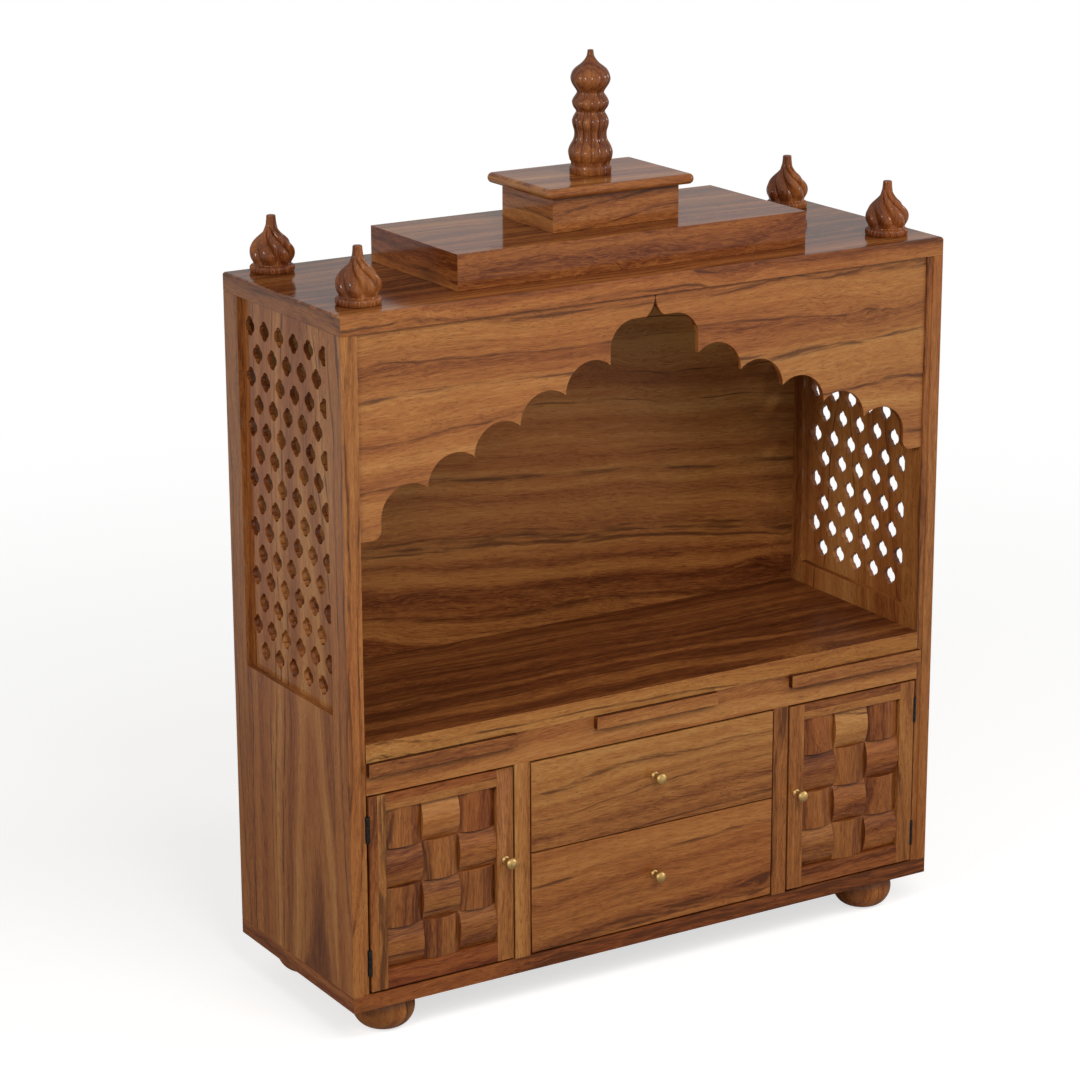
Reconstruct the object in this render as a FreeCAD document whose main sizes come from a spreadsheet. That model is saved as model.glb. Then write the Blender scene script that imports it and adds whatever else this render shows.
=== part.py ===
import FreeCAD, Part

import math
import os
import re

# Wooden home temple cabinet: a two-door base with two drawers and three pull-out trays,
# an altar niche behind a cusped arch, pierced side panels, and a stepped top with finials.
# Millimetres. Z is up, the front faces -Y, and the origin is on the floor under the middle.

SIZES = [
    # The box
    ("width", 914), ("depth", 316), ("box_height", 910), ("bottom_thick", 21), ("top_thick", 25),
    ("top_edge_round", 4), ("back_thick", 16), ("post_width", 24), ("front_post_depth", 40),
    ("back_post_depth", 38), ("post_step_width", 8.5), ("post_step_depth", 2),
    ("side_panel_height", 370),
    # Feet
    ("foot_height", 48), ("foot_radius", 41), ("foot_flat_radius", 22), ("foot_neck_radius", 38),
    ("foot_widest_height", 29), ("foot_inset_side", 71), ("foot_inset_front", 52),
    # Pierced side panels
    ("jali_thick", 7), ("jali_recess", 8), ("jali_hole_size", 26), ("jali_lobe_width", 13),
    ("jali_cusp", 7.2), ("jali_pitch_along", 39.7), ("jali_pitch_up", 33.06),
    ("jali_top_margin", 36),
    # Cusped arch
    ("arch_setback", 5), ("arch_thick", 9), ("arch_groove_depth", 8), ("groove_clearance", 0.2),
    ("arch_drop", 263), ("arch_centre_half", 67), ("arch_centre_drop", 29), ("arch_corner_radius", 36),
    ("arch_lobe_radius", 40.5), ("arch_lobe_pitch", 67), ("arch_lobe_step", 30.5),
    ("arch_first_lobe_side", 93.5), ("arch_first_lobe_drop", 116), ("arch_spike_half", 13),
    ("arch_spike_height", 28), ("arch_foot_round", 12),
    # Shelf, rail and trays
    ("shelf_height", 360), ("shelf_thick", 25), ("rail_height", 43), ("rail_thick", 17),
    ("deck_thick", 16), ("tray_space", 16), ("tray_front_thick", 8.5), ("tray_front_height", 17),
    ("side_tray_width", 217), ("centre_tray_width", 190), ("tray_inset", 8), ("tray_length", 262),
    ("tray_board_thick", 12), ("tray_dish_depth", 6), ("tray_dish_rim", 12),
    ("guide_width", 18), ("slot_clearance", 2), ("running_clearance", 0.3), ("closing_gap", 0.4),
    # Dividers and drawers
    ("divider_thick", 23), ("cupboard_width", 217), ("drawer_gap", 2), ("drawer_front_thick", 18),
    ("drawer_split_height", 164), ("drawer_side_thick", 12), ("drawer_floor_thick", 6),
    ("drawer_length", 270), ("drawer_side_gap", 5), ("drawer_box_drop", 14), ("runner_width", 14),
    ("runner_height", 12), ("front_rebate", 3),
    # Doors
    ("door_gap", 3), ("door_thick", 20), ("door_stile", 24), ("door_top_rail", 22),
    ("door_bottom_rail", 26), ("weave_rise", 6.5), ("weave_board_thick", 8), ("weave_setback", 0.5),
    # Hinges and knobs
    ("hinge_height", 35), ("hinge_barrel", 2.8), ("hinge_leaf_thick", 1.2), ("hinge_leaf_depth", 14),
    ("hinge_axis_depth", 1.8), ("hinge_lower_height", 64), ("hinge_upper_height", 246),
    ("hinge_clearance", 0.5), ("knob_reach", 22), ("knob_radius", 8), ("knob_flange_radius", 5.5),
    ("knob_neck_radius", 3.4), ("knob_inset", 12), ("knob_door_height", 164),
    ("knob_upper_height", 235), ("knob_lower_height", 95.5),
    # Stepped top and finials
    ("tier_centre_depth", 160), ("lower_tier_half", 265), ("lower_tier_depth", 223),
    ("lower_tier_height", 47), ("upper_tier_half", 96), ("upper_tier_depth", 126),
    ("upper_tier_height", 46), ("cap_overhang", 16), ("cap_thick", 13.5), ("cap_corner_round", 8),
    ("cap_edge_round", 6.5), ("centre_finial_height", 160), ("centre_finial_radius", 29.6),
    ("corner_finial_height", 73), ("corner_finial_radius", 29.6), ("finial_inset_side", 55),
    ("finial_inset_front", 54), ("finial_inset_back", 32), ("flute_depth", 2.6), ("finial_swirl", 115),
]

# Places that several pieces share, worked out from the sizes above.
PLACES = {
    "front": "((knob_reach - depth) / 2)",
    "back": "(front + depth)",
    "left": "(-width / 2)",
    "floor": "(foot_height + bottom_thick)",
    "underside": "(foot_height + box_height - top_thick)",
    "roof": "(foot_height + box_height)",
    "inner": "(width / 2 - post_width)",
    "panel_top": "(floor + side_panel_height)",
    "jali_length": "(depth - front_post_depth - back_post_depth)",
    "shelf_low": "(foot_height + shelf_height - shelf_thick)",
    "rail_low": "(shelf_low - rail_height)",
    "deck_top": "(shelf_low - tray_space)",
    "inside_depth": "(depth - back_thick)",
    "divider_in": "(inner - cupboard_width - divider_thick)",
    "divider_out": "(inner - cupboard_width)",
    "door_low": "(floor + door_gap)",
    "door_height": "(rail_low - floor - 2 * door_gap)",
    "door_width": "(cupboard_width - 2 * door_gap)",
    "door_out": "(inner - door_gap)",
    "hinge_line": "(inner - door_gap / 2)",
    "hinge_depth": "(front + hinge_axis_depth)",
    "split": "(foot_height + drawer_split_height)",
    "drawer_half": "(divider_in - drawer_gap)",
    "drawer_box_half": "(divider_in - drawer_side_gap)",
    "lower_drawer_low": "(floor + front_rebate)",
    "upper_drawer_low": "(split + drawer_gap / 2)",
    "lower_box_low": "(floor + runner_height + running_clearance)",
    "upper_box_low": "(split + runner_height / 2 + running_clearance)",
    "lower_tier_top": "(roof + lower_tier_height)",
    "upper_tier_top": "(lower_tier_top + upper_tier_height)",
    "cap_top": "(upper_tier_top + cap_thick)",
    "tier_middle": "(front + tier_centre_depth)",
    "weave_width": "(door_width - 2 * door_stile)",
    "weave_height": "(door_height - door_top_rail - door_bottom_rail)",
    "block_wide": "(weave_width / 3)",
    "block_high": "(weave_height / 4)",
}

doc = FreeCAD.newDocument("HomeTemple")
sheet = doc.addObject("Spreadsheet::Sheet", "Sizes")
for row, (word, number) in enumerate(SIZES, start=1):
    sheet.set("A%d" % row, word)
    sheet.set("B%d" % row, str(number))
    sheet.setAlias("B%d" % row, word)
doc.recompute()

PIECES = []

# Flat sides on the turned pieces
FOOT_SIDES = 18
KNOB_SIDES = 10
BARREL_SIDES = 8
WEAVE_SIDES = 36


def spelled_out(formula):
    """Replace the shared places in a formula until only named sizes are left."""
    while any(word in PLACES for word in re.findall(r"[a-z_]+", formula)):
        formula = re.sub(r"[a-z_]+", lambda m: PLACES.get(m.group(), m.group()), formula)
    return formula


def bound(formula):
    """Give the expression of a formula, with each size read from the sheet."""
    return re.sub(r"[a-z_]+", lambda m: "Sizes." + m.group(), spelled_out(str(formula)))


def value(formula):
    """Work out a formula as a number of millimetres."""
    probe = doc.getObject("Probe") or doc.addObject("App::FeaturePython", "Probe")
    if not hasattr(probe, "Result"):
        probe.addProperty("App::PropertyFloat", "Result")
    probe.setExpression("Result", bound(formula))
    probe.recompute()
    return probe.Result


def place(thing, x, y, z, turn=None):
    """Put an object's own origin at a place given by three formulas."""
    if turn is not None:
        thing.Placement.Rotation = turn
    thing.setExpression("Placement.Base.x", bound(x))
    thing.setExpression("Placement.Base.y", bound(y))
    thing.setExpression("Placement.Base.z", bound(z))


def label(thing, name):
    """Name a finished piece, which also names its file."""
    thing.Label = name
    PIECES.append(thing)
    return thing


def block(x, y, z, wide, deep, high):
    """A rectangular board from its least corner and its three sizes."""
    box = doc.addObject("Part::Box", "Board")
    box.setExpression("Length", bound(wide))
    box.setExpression("Width", bound(deep))
    box.setExpression("Height", bound(high))
    place(box, x, y, z)
    return box


def rod(x, y, z, radius, length, turn=None, sides=0):
    """A round rod along Z, or turned, from the middle of its first end, or one with flat sides."""
    if sides:
        thing = doc.addObject("Part::Prism", "Rod")
        thing.Polygon = sides
        thing.setExpression("Circumradius", bound(radius))
    else:
        thing = doc.addObject("Part::Cylinder", "Rod")
        thing.setExpression("Radius", bound(radius))
    thing.setExpression("Height", bound(length))
    place(thing, x, y, z, turn)
    return thing


def cut(base, tool):
    """The base with the tool's space taken out."""
    result = doc.addObject("Part::Cut", "Cut")
    result.Base = base
    result.Tool = tool
    return result


def joined(*things):
    """Several shapes glued into one solid."""
    result = doc.addObject("Part::MultiFuse", "Joined")
    result.Shapes = list(things)
    result.Refine = True
    return result


def group(*things):
    """Several separate solids kept together in one piece."""
    result = doc.addObject("Part::Compound", "Group")
    result.Links = list(things)
    return result


def mirrored(thing):
    """The same shape on the other side of the middle."""
    result = doc.addObject("Part::Mirroring", "Mirrored")
    result.Source = thing
    result.Normal = FreeCAD.Vector(1, 0, 0)
    return result


def pair(name, thing):
    """A piece on the left, and its mirror image on the right."""
    label(thing, "left_" + name)
    return label(mirrored(thing), "right_" + name)


def skin(name, rings):
    """One solid with flat facets laid over rings that have the same number of points."""
    count = len(rings[0])
    faces = [Part.Face(Part.makePolygon(ring + ring[:1])) for ring in (rings[0], rings[-1])]
    for low, high in zip(rings, rings[1:]):
        for k in range(count):
            a, b = low[k], low[(k + 1) % count]
            c, d = high[(k + 1) % count], high[k]
            twist = abs((b - a).cross(d - a).normalize().dot(c - a))
            corners = [(a, b, c, d)] if twist < 1e-6 else [(a, b, c), (a, c, d)]
            faces.extend(Part.Face(Part.makePolygon(list(each) + [each[0]])) for each in corners)
    thing = doc.addObject("Part::Feature", name)
    thing.Shape = Part.Solid(Part.Shell(faces))
    return thing


def ring(height, radius, sides):
    """The corners of a level regular polygon."""
    return [FreeCAD.Vector(radius * math.cos(2 * math.pi * k / sides),
                           radius * math.sin(2 * math.pi * k / sides), height) for k in range(sides)]


TO_BACK = FreeCAD.Rotation(FreeCAD.Vector(1, 0, 0), -90)
TO_FRONT = FreeCAD.Rotation(FreeCAD.Vector(1, 0, 0), 90)
TO_RIGHT = FreeCAD.Rotation(FreeCAD.Vector(0, 1, 0), 90)


# Boards of the box

def make_top_board():
    """The top board, with an eased upper edge and a groove that takes the arch panel."""
    body = doc.addObject("PartDesign::Body", "TopBoard")
    plane = [item for item in body.Origin.OriginFeatures if item.Role == "XY_Plane"][0]
    outline = body.newObject("Sketcher::SketchObject", "TopOutline")
    outline.AttachmentSupport = [(plane, "")]
    outline.MapMode = "FlatFace"
    half_wide = value("width / 2")
    half_deep = value("depth / 2")
    corners = [(-half_wide, -half_deep), (half_wide, -half_deep), (half_wide, half_deep),
               (-half_wide, half_deep)]
    for index in range(4):
        start = FreeCAD.Vector(*corners[index], 0)
        end = FreeCAD.Vector(*corners[(index + 1) % 4], 0)
        outline.addGeometry(Part.LineSegment(start, end))
    import Sketcher
    for index in range(4):
        outline.addConstraint(Sketcher.Constraint("Coincident", index, 2, (index + 1) % 4, 1))
    for index, way in enumerate(("Horizontal", "Vertical", "Horizontal", "Vertical")):
        outline.addConstraint(Sketcher.Constraint(way, index))
    outline.addConstraint(Sketcher.Constraint("DistanceX", 0, 1, 0, 2, 2 * half_wide))
    outline.addConstraint(Sketcher.Constraint("DistanceY", 1, 1, 1, 2, 2 * half_deep))
    outline.addConstraint(Sketcher.Constraint("Symmetric", 0, 1, 2, 1, -1, 1))
    outline.setExpression("Constraints[8]", bound("width"))
    outline.setExpression("Constraints[9]", bound("depth"))
    pad = body.newObject("PartDesign::Pad", "TopPad")
    pad.Profile = outline
    pad.setExpression("Length", bound("top_thick"))
    doc.recompute()
    upper = [index for index, face in enumerate(pad.Shape.Faces, start=1)
             if face.CenterOfMass.z > value("top_thick") - 0.01]
    ease = body.newObject("PartDesign::Fillet", "TopEase")
    ease.Base = (pad, ["Face%d" % upper[0]])
    ease.setExpression("Radius", bound("top_edge_round"))
    body.Tip = ease
    place(body, 0, "front + depth / 2", "underside")
    groove = block("-inner", "front + arch_setback - groove_clearance", "underside",
                   "2 * inner", "arch_thick + 2 * groove_clearance", "arch_groove_depth")
    return cut(body, groove)


def make_front_post():
    """A front post, with a shallow step along its inner edge and a seat for each hinge."""
    post = block("left", "front", "floor", "post_width", "front_post_depth", "underside - floor")
    step = block("-inner - post_step_width", "front", "floor", "post_step_width", "post_step_depth",
                 "underside - floor")
    seats = []
    for level in ("hinge_lower_height", "hinge_upper_height"):
        seats.append(rod("-hinge_line", "hinge_depth",
                         "foot_height + %s - hinge_height / 2 - hinge_clearance" % level,
                         "hinge_barrel + hinge_clearance", "hinge_height + 2 * hinge_clearance",
                         sides=BARREL_SIDES))
    return cut(post, joined(step, *seats))


def quatrefoil(along, up, size, width, cusp):
    """One pierced hole of four blunt lobes, as a closed wire across the panel."""
    points = []
    for quarter in range(4):
        turn = math.pi / 2 * quarter
        for out, side in ((cusp, -cusp), (size / 2 * 0.93, -width * 0.30), (size / 2 * 0.93, width * 0.30)):
            points.append(FreeCAD.Vector(0, along + out * math.cos(turn) - side * math.sin(turn),
                                         up + out * math.sin(turn) + side * math.cos(turn)))
    return Part.makePolygon(points + points[:1])


def make_jali():
    """A pierced side panel, whose rows hold six and five holes in turn."""
    length = value("jali_length")
    height = value("underside - panel_top")
    along = value("jali_pitch_along")
    up = value("jali_pitch_up")
    size = value("jali_hole_size")
    holes = []
    row = 0
    level = height - value("jali_top_margin")
    while level >= size:
        count = 6 if row % 2 == 0 else 5
        for index in range(count):
            middle = length / 2 + (index - (count - 1) / 2) * along
            holes.append(quatrefoil(middle, level, size, value("jali_lobe_width"),
                                    value("jali_cusp")))
        row += 1
        level -= up
    border = Part.makePolygon([FreeCAD.Vector(0, 0, 0), FreeCAD.Vector(0, length, 0),
                               FreeCAD.Vector(0, length, height), FreeCAD.Vector(0, 0, height),
                               FreeCAD.Vector(0, 0, 0)])
    sheet_face = Part.makeFace([border] + holes, "Part::FaceMakerBullseye")
    panel = doc.addObject("Part::Feature", "Jali")
    panel.Shape = sheet_face.extrude(FreeCAD.Vector(value("jali_thick"), 0, 0))
    place(panel, "left + jali_recess", "front + front_post_depth", "panel_top")
    return panel


def make_arch():
    """The arch panel, with a spiked crown, five round lobes a side and rounded feet."""
    panel = block("-inner", "front + arch_setback", "underside - arch_drop", "2 * inner", "arch_thick",
                  "arch_drop + arch_groove_depth")
    before = "front + arch_setback - 1"
    through = "arch_thick + 2"
    low = "underside - arch_drop - 1"
    crown = "underside - arch_centre_drop"
    tools = [
        block("-arch_centre_half", before, low, "2 * arch_centre_half", through,
              crown + " - arch_corner_radius - (%s)" % low),
        block("arch_corner_radius - arch_centre_half", before, low,
              "2 * (arch_centre_half - arch_corner_radius)", through, crown + " - (%s)" % low),
    ]
    spike = block("-arch_spike_half", before, crown + " - 2", "2 * arch_spike_half", through,
                  "arch_spike_height + 2")
    curve = "(arch_spike_height ^ 2 + arch_spike_half ^ 2) / (2 * arch_spike_half)"
    for side in ("-", ""):
        tools.append(rod("%s(arch_centre_half - arch_corner_radius)" % side, before,
                         crown + " - arch_corner_radius", "arch_corner_radius", through, TO_BACK))
        spike = cut(spike, rod("%s(%s)" % (side, curve), before, crown + " + arch_spike_height",
                               curve, through, TO_BACK))
        for lobe in range(5):
            middle = "(arch_first_lobe_side + %d * arch_lobe_pitch)" % lobe
            level = "underside - arch_first_lobe_drop - %d * arch_lobe_step" % lobe
            tools.append(rod("%s%s" % (side, middle), before, level, "arch_lobe_radius", through,
                             TO_BACK))
            start = "%s + arch_lobe_radius - arch_lobe_pitch" % middle
            if side:
                start = "-%s - arch_lobe_radius" % middle
            tools.append(block(start, before, low, "arch_lobe_pitch", through,
                               level + " - (%s)" % low))
    opening = joined(spike, *tools)
    foot_edge = "(arch_first_lobe_side + 4 * arch_lobe_pitch + arch_lobe_radius)"
    corner = block(foot_edge + " - 1", before, low, "arch_foot_round + 1", through, "arch_foot_round + 1")
    corner = cut(corner, rod(foot_edge + " + arch_foot_round", before,
                             "underside - arch_drop + arch_foot_round", "arch_foot_round", through,
                             TO_BACK))
    return cut(cut(cut(panel, opening), corner), mirrored(corner))


def make_rail():
    """The rail under the shelf, notched for the three trays."""
    rail = block("-inner", "front", "rail_low", "2 * inner", "rail_thick", "rail_height")
    notches = []
    for middle, wide in TRAYS.values():
        notches.append(block("%s - %s / 2 + tray_inset - slot_clearance" % (middle, wide), "front - 1",
                             "deck_top", "%s - 2 * (tray_inset - slot_clearance)" % wide,
                             "rail_thick + 2", "tray_space + 1"))
    return cut(rail, joined(*notches))


TRAYS = {
    "left_tray": ("(-inner + side_tray_width / 2)", "side_tray_width"),
    "centre_tray": ("0", "centre_tray_width"),
    "right_tray": ("(inner - side_tray_width / 2)", "side_tray_width"),
}


def make_tray(middle, wide):
    """A pull-out tray: a shallow dished board behind a plain proud front strip."""
    strip = block("%s - %s / 2" % (middle, wide), "front - tray_front_thick", "deck_top", wide,
                  "tray_front_thick - closing_gap", "tray_front_height")
    board = block("%s - %s / 2 + tray_inset" % (middle, wide), "front - closing_gap - 1",
                  "deck_top + running_clearance", "%s - 2 * tray_inset" % wide, "tray_length",
                  "tray_board_thick")
    dish = block("%s - %s / 2 + tray_inset + tray_dish_rim" % (middle, wide),
                 "front + rail_thick + tray_dish_rim",
                 "deck_top + running_clearance + tray_board_thick - tray_dish_depth",
                 "%s - 2 * (tray_inset + tray_dish_rim)" % wide,
                 "tray_length - rail_thick - 2 * tray_dish_rim - closing_gap - 1", "tray_dish_depth + 1")
    return cut(joined(strip, board), dish)


def make_guides():
    """Strips on the deck that keep the trays straight and carry the shelf."""
    low = "front + rail_thick"
    long = "inside_depth - rail_thick"
    gap = "tray_inset - slot_clearance"
    starts = [("-inner", gap),
              ("-inner + side_tray_width - (%s)" % gap, "guide_width"),
              ("-centre_tray_width / 2 + %s - guide_width" % gap, "guide_width")]
    strips = [block(x, low, "deck_top", wide, long, "tray_space") for x, wide in starts]
    return group(*strips, *[mirrored(strip) for strip in strips])


def make_divider():
    """An upright board between a cupboard and the drawers, notched for the rail."""
    board = block("-divider_out", "front", "floor", "divider_thick", "inside_depth",
                  "deck_top - deck_thick - floor")
    notch = block("-divider_out - 1", "front - 1", "rail_low", "divider_thick + 2", "rail_thick + 1",
                  "deck_top - deck_thick - rail_low + 1")
    return cut(board, notch)


def make_runners():
    """Two wooden strips on a divider, one under each drawer."""
    lower = block("-divider_in", "front + drawer_front_thick + 2", "floor", "runner_width",
                  "inside_depth - drawer_front_thick - 2", "runner_height")
    upper = block("-divider_in", "front + drawer_front_thick + 2", "split - runner_height / 2",
                  "runner_width", "inside_depth - drawer_front_thick - 2", "runner_height")
    return group(lower, upper)


def make_foot(x, y):
    """A turned bun foot, widest below its middle and flat where it stands."""
    flat = value("foot_flat_radius")
    wide = value("foot_radius")
    belly = value("foot_widest_height")
    high = value("foot_height")
    profile = [(0, flat)]
    for step in (30, 60, 90):
        turn = math.radians(step)
        profile.append((belly * (1 - math.cos(turn)), flat + (wide - flat) * math.sin(turn)))
    profile.append((belly + (high - belly) * 0.55, wide - (wide - value("foot_neck_radius")) * 0.3))
    profile.append((high, value("foot_neck_radius")))
    foot = skin("Foot", [ring(height, radius, FOOT_SIDES) for height, radius in profile])
    place(foot, x, y, 0)
    return foot


# Doors

def make_door_frame():
    """The left door's frame: stiles and rails round an open field, eased for the hinges."""
    frame = block("-door_out", "front", "door_low", "door_width", "door_thick", "door_height")
    field = block("-door_out + door_stile", "front - 1", "door_low + door_bottom_rail", "weave_width",
                  "door_thick + 2", "weave_height")
    seats = []
    for level in ("hinge_lower_height", "hinge_upper_height"):
        seats.append(rod("-hinge_line", "hinge_depth",
                         "foot_height + %s - hinge_height / 2 - hinge_clearance" % level,
                         "hinge_barrel + hinge_clearance", "hinge_height + 2 * hinge_clearance",
                         sides=BARREL_SIDES))
    return cut(frame, joined(field, *seats))


def make_weave():
    """The left door's panel: round-backed blocks laid in turn upright and across."""
    x0 = "-door_out + door_stile"
    z0 = "door_low + door_bottom_rail"
    back = "front + weave_setback + weave_rise"
    parts = [block(x0, back, z0, "weave_width", "weave_board_thick", "weave_height")]
    for column in range(3):
        for row in range(4):
            x = "%s + %d * block_wide" % (x0, column)
            z = "%s + %d * block_high" % (z0, row)
            upright = (column + row) % 2 == 1
            span = "block_wide" if upright else "block_high"
            radius = "((%s / 2) ^ 2 + weave_rise ^ 2) / (2 * weave_rise)" % span
            bounds = block(x, "front + weave_setback", z, "block_wide", "weave_rise + 1", "block_high")
            if upright:
                round_back = rod("%s + block_wide / 2" % x, "front + weave_setback + " + radius, z,
                                 radius, "block_high", sides=WEAVE_SIDES)
            else:
                round_back = rod(x, "front + weave_setback + " + radius, "%s + block_high / 2" % z,
                                 radius, "block_wide", TO_RIGHT, sides=WEAVE_SIDES)
            barrel = doc.addObject("Part::Common", "Barrel")
            barrel.Base = bounds
            barrel.Tool = round_back
            parts.append(barrel)
    return joined(*parts)


def make_leaf(side, level, moving):
    """Half of a butt hinge: a thin leaf with the outer barrels, or with the middle one."""
    low = "(foot_height + %s - hinge_height / 2)" % level
    third = "hinge_height / 3"
    gap = "running_clearance"
    reach = "hinge_depth + hinge_barrel + hinge_clearance"
    if moving:
        x = "-door_out - hinge_leaf_thick"
        barrels = [(low + " + %s + %s" % (third, gap), third + " - 2 * " + gap)]
    else:
        x = "-inner"
        barrels = [(low, third), (low + " + 2 * " + third, third)]
    plate = block(x, reach, low, "hinge_leaf_thick", "hinge_leaf_depth", "hinge_height")
    solids = [plate]
    for start, length in barrels:
        solids.append(rod("-hinge_line", "hinge_depth", start, "hinge_barrel", length,
                          sides=BARREL_SIDES))
        solids.append(block(x, "hinge_depth + hinge_barrel / 2", start, "hinge_leaf_thick",
                            "hinge_barrel / 2 + hinge_clearance + 1", length))
    half = joined(*solids)
    return mirrored(half) if side == "right" else half


def make_knob(x, z):
    """A small turned knob with a flange, a slim neck and a domed head."""
    reach = value("knob_reach")
    head = value("knob_radius")
    neck = value("knob_neck_radius")
    flange = value("knob_flange_radius")
    profile = [(0, flange), (reach * 0.1, flange * 0.85), (reach * 0.14, neck), (reach - 1.6 * head, neck),
               (reach - 1.2 * head, head * 0.85), (reach - 0.8 * head, head),
               (reach - 0.35 * head, head * 0.88), (reach, head * 0.35)]
    knob = skin("Knob", [ring(height, radius, KNOB_SIDES) for height, radius in profile])
    place(knob, x, "front", z, TO_FRONT)
    return knob


# Drawers

def make_drawer_front(low, high):
    """A plain drawer front."""
    return block("-drawer_half", "front", low, "2 * drawer_half", "drawer_front_thick", high)


def make_drawer_box(low, high):
    """A drawer box: two sides, a back and a floor behind the front."""
    outer = block("-drawer_box_half", "front + drawer_front_thick", low, "2 * drawer_box_half",
                  "drawer_length", high)
    hollow = block("-drawer_box_half + drawer_side_thick", "front + drawer_front_thick - 1",
                   low + " + drawer_floor_thick", "2 * (drawer_box_half - drawer_side_thick)",
                   "drawer_length - drawer_side_thick + 1", high)
    return cut(outer, hollow)


# Stepped top and finials

def make_cap():
    """The plate on the upper step, with round corners and a half-round edge."""
    half_wide = value("upper_tier_half + cap_overhang")
    half_deep = value("upper_tier_depth / 2 + cap_overhang")
    corner = value("cap_corner_round")
    edge = value("cap_edge_round")
    thick = value("cap_thick")
    rings = []
    for lean in (-90, -45, 0, 45, 90):
        inset = edge * (1 - math.cos(math.radians(lean)))
        height = thick / 2 + edge * math.sin(math.radians(lean))
        if abs(lean) == 90:
            height = thick * (lean > 0)
        points = []
        for quarter in range(4):
            side = FreeCAD.Vector(*((1, 1), (-1, 1), (-1, -1), (1, -1))[quarter], 0)
            for step in (0, 45, 90):
                turn = math.radians(90 * quarter + step)
                points.append(FreeCAD.Vector(
                    side.x * (half_wide - corner) + (corner - inset) * math.cos(turn),
                    side.y * (half_deep - corner) + (corner - inset) * math.sin(turn), height))
        rings.append(points)
    cap = skin("Cap", rings)
    place(cap, 0, "tier_middle", "upper_tier_top")
    return cap


# Turned shapes as (share of the height, share of the greatest radius)
CENTRE_TURNING = [
    (0.00, 0.92), (0.07, 0.92), (0.10, 0.87), (0.17, 1.00), (0.23, 0.91), (0.32, 0.73),
    (0.41, 0.83), (0.50, 0.64), (0.575, 0.82), (0.66, 0.605), (0.73, 0.82), (0.77, 0.89),
    (0.82, 0.83), (0.85, 0.71), (0.90, 0.36), (0.95, 0.17), (1.00, 0.12),
]
CORNER_TURNING = [
    (0.00, 0.96), (0.10, 0.98), (0.15, 0.82), (0.24, 0.94), (0.35, 1.00), (0.47, 0.90), (0.56, 0.76),
    (0.65, 0.49), (0.76, 0.28), (1.00, 0.19),
]


def make_finial(turning, height, radius, ridges, swirl):
    """A turned finial with ridges that run up it, or swirl round it."""
    deep = value("flute_depth")
    rings = []
    for share, wide in turning:
        r = radius * wide
        cut_in = min(deep, r * 0.12) if share > 0.08 else deep * 0.14
        turn = -math.radians(swirl) * min(share, 0.8) ** 1.6
        points = []
        for k in range(2 * ridges):
            out = r if k % 2 == 0 else r - cut_in
            angle = math.pi * k / ridges + turn
            points.append(FreeCAD.Vector(out * math.cos(angle), out * math.sin(angle), height * share))
        rings.append(points)
    return skin("Finial", rings)


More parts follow.
